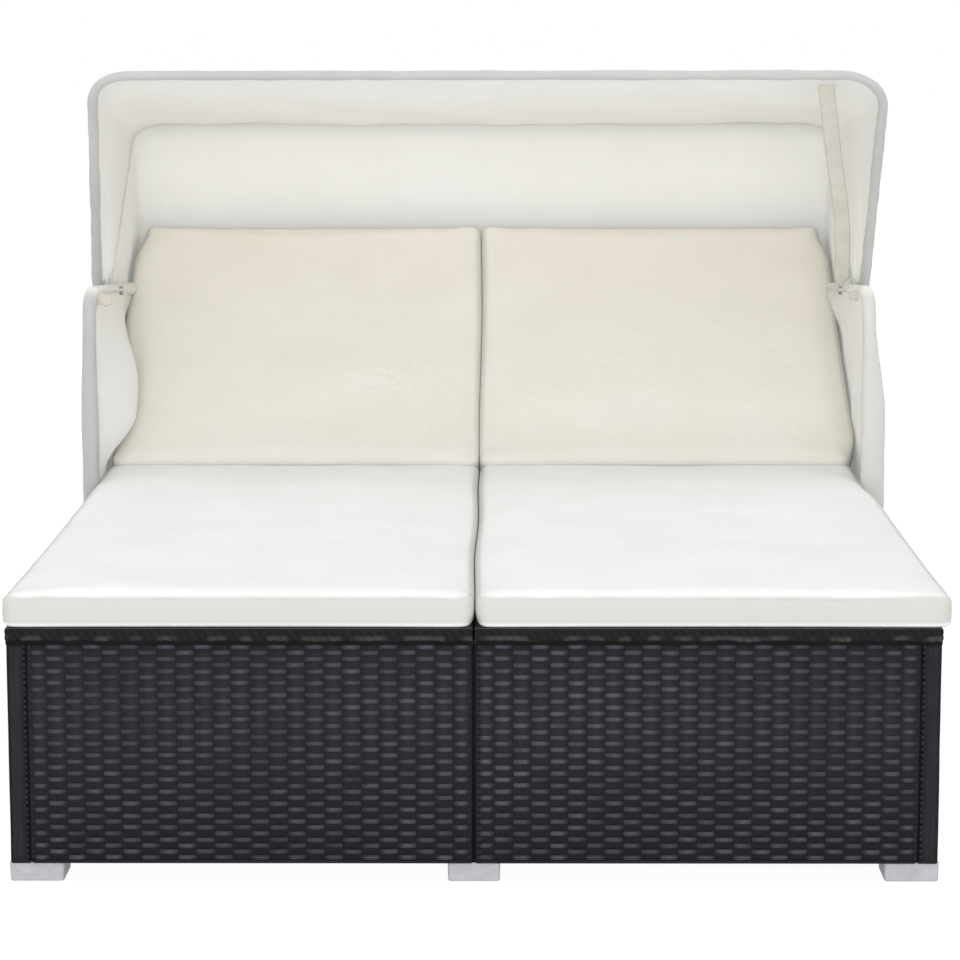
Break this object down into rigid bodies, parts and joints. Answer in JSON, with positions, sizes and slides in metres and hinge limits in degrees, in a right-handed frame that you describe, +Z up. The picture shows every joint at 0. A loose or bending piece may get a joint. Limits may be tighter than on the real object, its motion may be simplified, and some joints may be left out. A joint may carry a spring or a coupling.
{
  "type": "outdoor daybed with canopy",
  "caption": "Low woven outdoor double daybed with adjustable backs on props, loose seat and back cushions, and a folding cloth hood on bows over its head end.",
  "frame": {"origin": "middle of the floor area that the daybed covers", "axes": "+X to the right seen from the foot end, +Y from the foot end to the hood, +Z up"},
  "size_m": [1.3828, 2.0218, 1.1078],
  "materials": {
    "rattan": "round resin strands woven over upright stakes",
    "rim_weave": "resin strands wrapped closely round a flat frame",
    "foot_plastic": "moulded, pale grey",
    "frame_metal": "dark powder coat",
    "steel": "zinc plated",
    "cushion_cloth": "plain weave, off-white",
    "hood_tube": "pale powder coat",
    "hood_cloth": "coated plain weave, off-white",
    "strap_web": "woven webbing, beige grey"
  },
  "bodies": {
    "root": {"side_panel_left": "rattan", "side_panel_right": "rattan", "front_panel_left": "rattan", "front_panel_right": "rattan", "rear_panel_left": "rattan", "rear_panel_right": "rattan", "centre_beam": "frame_metal", "centre_post": "frame_metal", "cross_rail_left": "frame_metal", "cross_rail_right": "frame_metal", "foot_front_left": "foot_plastic", "foot_front_centre": "foot_plastic", "foot_front_right": "foot_plastic", "foot_middle_left": "foot_plastic", "foot_middle_centre": "foot_plastic", "foot_middle_right": "foot_plastic", "foot_rear_left": "foot_plastic", "foot_rear_centre": "foot_plastic", "foot_rear_right": "foot_plastic", "seat_frame_left": "rim_weave", "seat_frame_right": "rim_weave", "hinge_rod_left": "steel", "hinge_rod_right": "steel", "seat_cushion_left": "cushion_cloth", "seat_cushion_right": "cushion_cloth", "prop_rack_inner_left": "steel", "prop_rack_inner_right": "steel", "prop_rack_outer_left": "steel", "prop_rack_outer_right": "steel", "hood_side_rail_left": "hood_tube", "hood_side_rail_right": "hood_tube", "hood_post_front_left": "hood_tube", "hood_post_front_right": "hood_tube", "hood_post_rear_left": "hood_tube", "hood_post_rear_right": "hood_tube", "hood_bolt_front_left": "steel", "hood_bolt_front_right": "steel", "hood_bolt_rear_left": "steel", "hood_bolt_rear_right": "steel", "hood_cross_tube": "hood_tube", "pivot_bolt_left": "steel", "pivot_bolt_right": "steel", "side_curtain_left": "hood_cloth", "side_curtain_right": "hood_cloth", "rear_curtain": "hood_cloth"},
    "backrest_left": {"backrest_frame_left": "rim_weave", "back_cushion_left": "cushion_cloth", "prop_rod_left": "steel"},
    "backrest_right": {"backrest_frame_right": "rim_weave", "back_cushion_right": "cushion_cloth", "prop_rod_right": "steel"},
    "prop_left": {"prop_bail_left": "steel"},
    "prop_right": {"prop_bail_right": "steel"},
    "rear_bow": {"rear_bow": "hood_tube", "canopy_rear": "hood_cloth"},
    "front_bow": {"front_bow": "hood_tube", "tie_strap": "strap_web", "canopy_front": "hood_cloth"}
  },
  "joints": [
    {"name": "backrest_fold_left", "type": "hinge", "parent": "root", "child": "backrest_left", "pos_m": [0, 0.2441, 0.353], "axis": [1, 0, 0], "range_deg": [-29.5, 15.5]},
    {"name": "backrest_fold_right", "type": "hinge", "parent": "root", "child": "backrest_right", "pos_m": [0, 0.2441, 0.353], "axis": [1, 0, 0], "range_deg": [-29.5, 15.5]},
    {"name": "prop_swing_left", "type": "hinge", "parent": "backrest_left", "child": "prop_left", "pos_m": [0, 0.57681, 0.53664], "axis": [1, 0, 0], "range_deg": [-35, 66]},
    {"name": "prop_swing_right", "type": "hinge", "parent": "backrest_right", "child": "prop_right", "pos_m": [0, 0.57681, 0.53664], "axis": [1, 0, 0], "range_deg": [-35, 66]},
    {"name": "rear_bow_fold", "type": "hinge", "parent": "root", "child": "rear_bow", "pos_m": [0, 0.4091, 0.70138], "axis": [-1, 0, 0], "range_deg": [0, 24], "deforming": ["canopy_rear"]},
    {"name": "front_bow_fold", "type": "hinge", "parent": "rear_bow", "child": "front_bow", "pos_m": [0, 0.4091, 0.70138], "axis": [-1, 0, 0], "range_deg": [0, 62], "deforming": ["canopy_front"]}
  ],
  "couplings": [
    {"joint": "prop_swing_left", "follows": "backrest_fold_left", "ratio": -2.22},
    {"joint": "prop_swing_right", "follows": "backrest_fold_right", "ratio": -2.22}
  ]
}
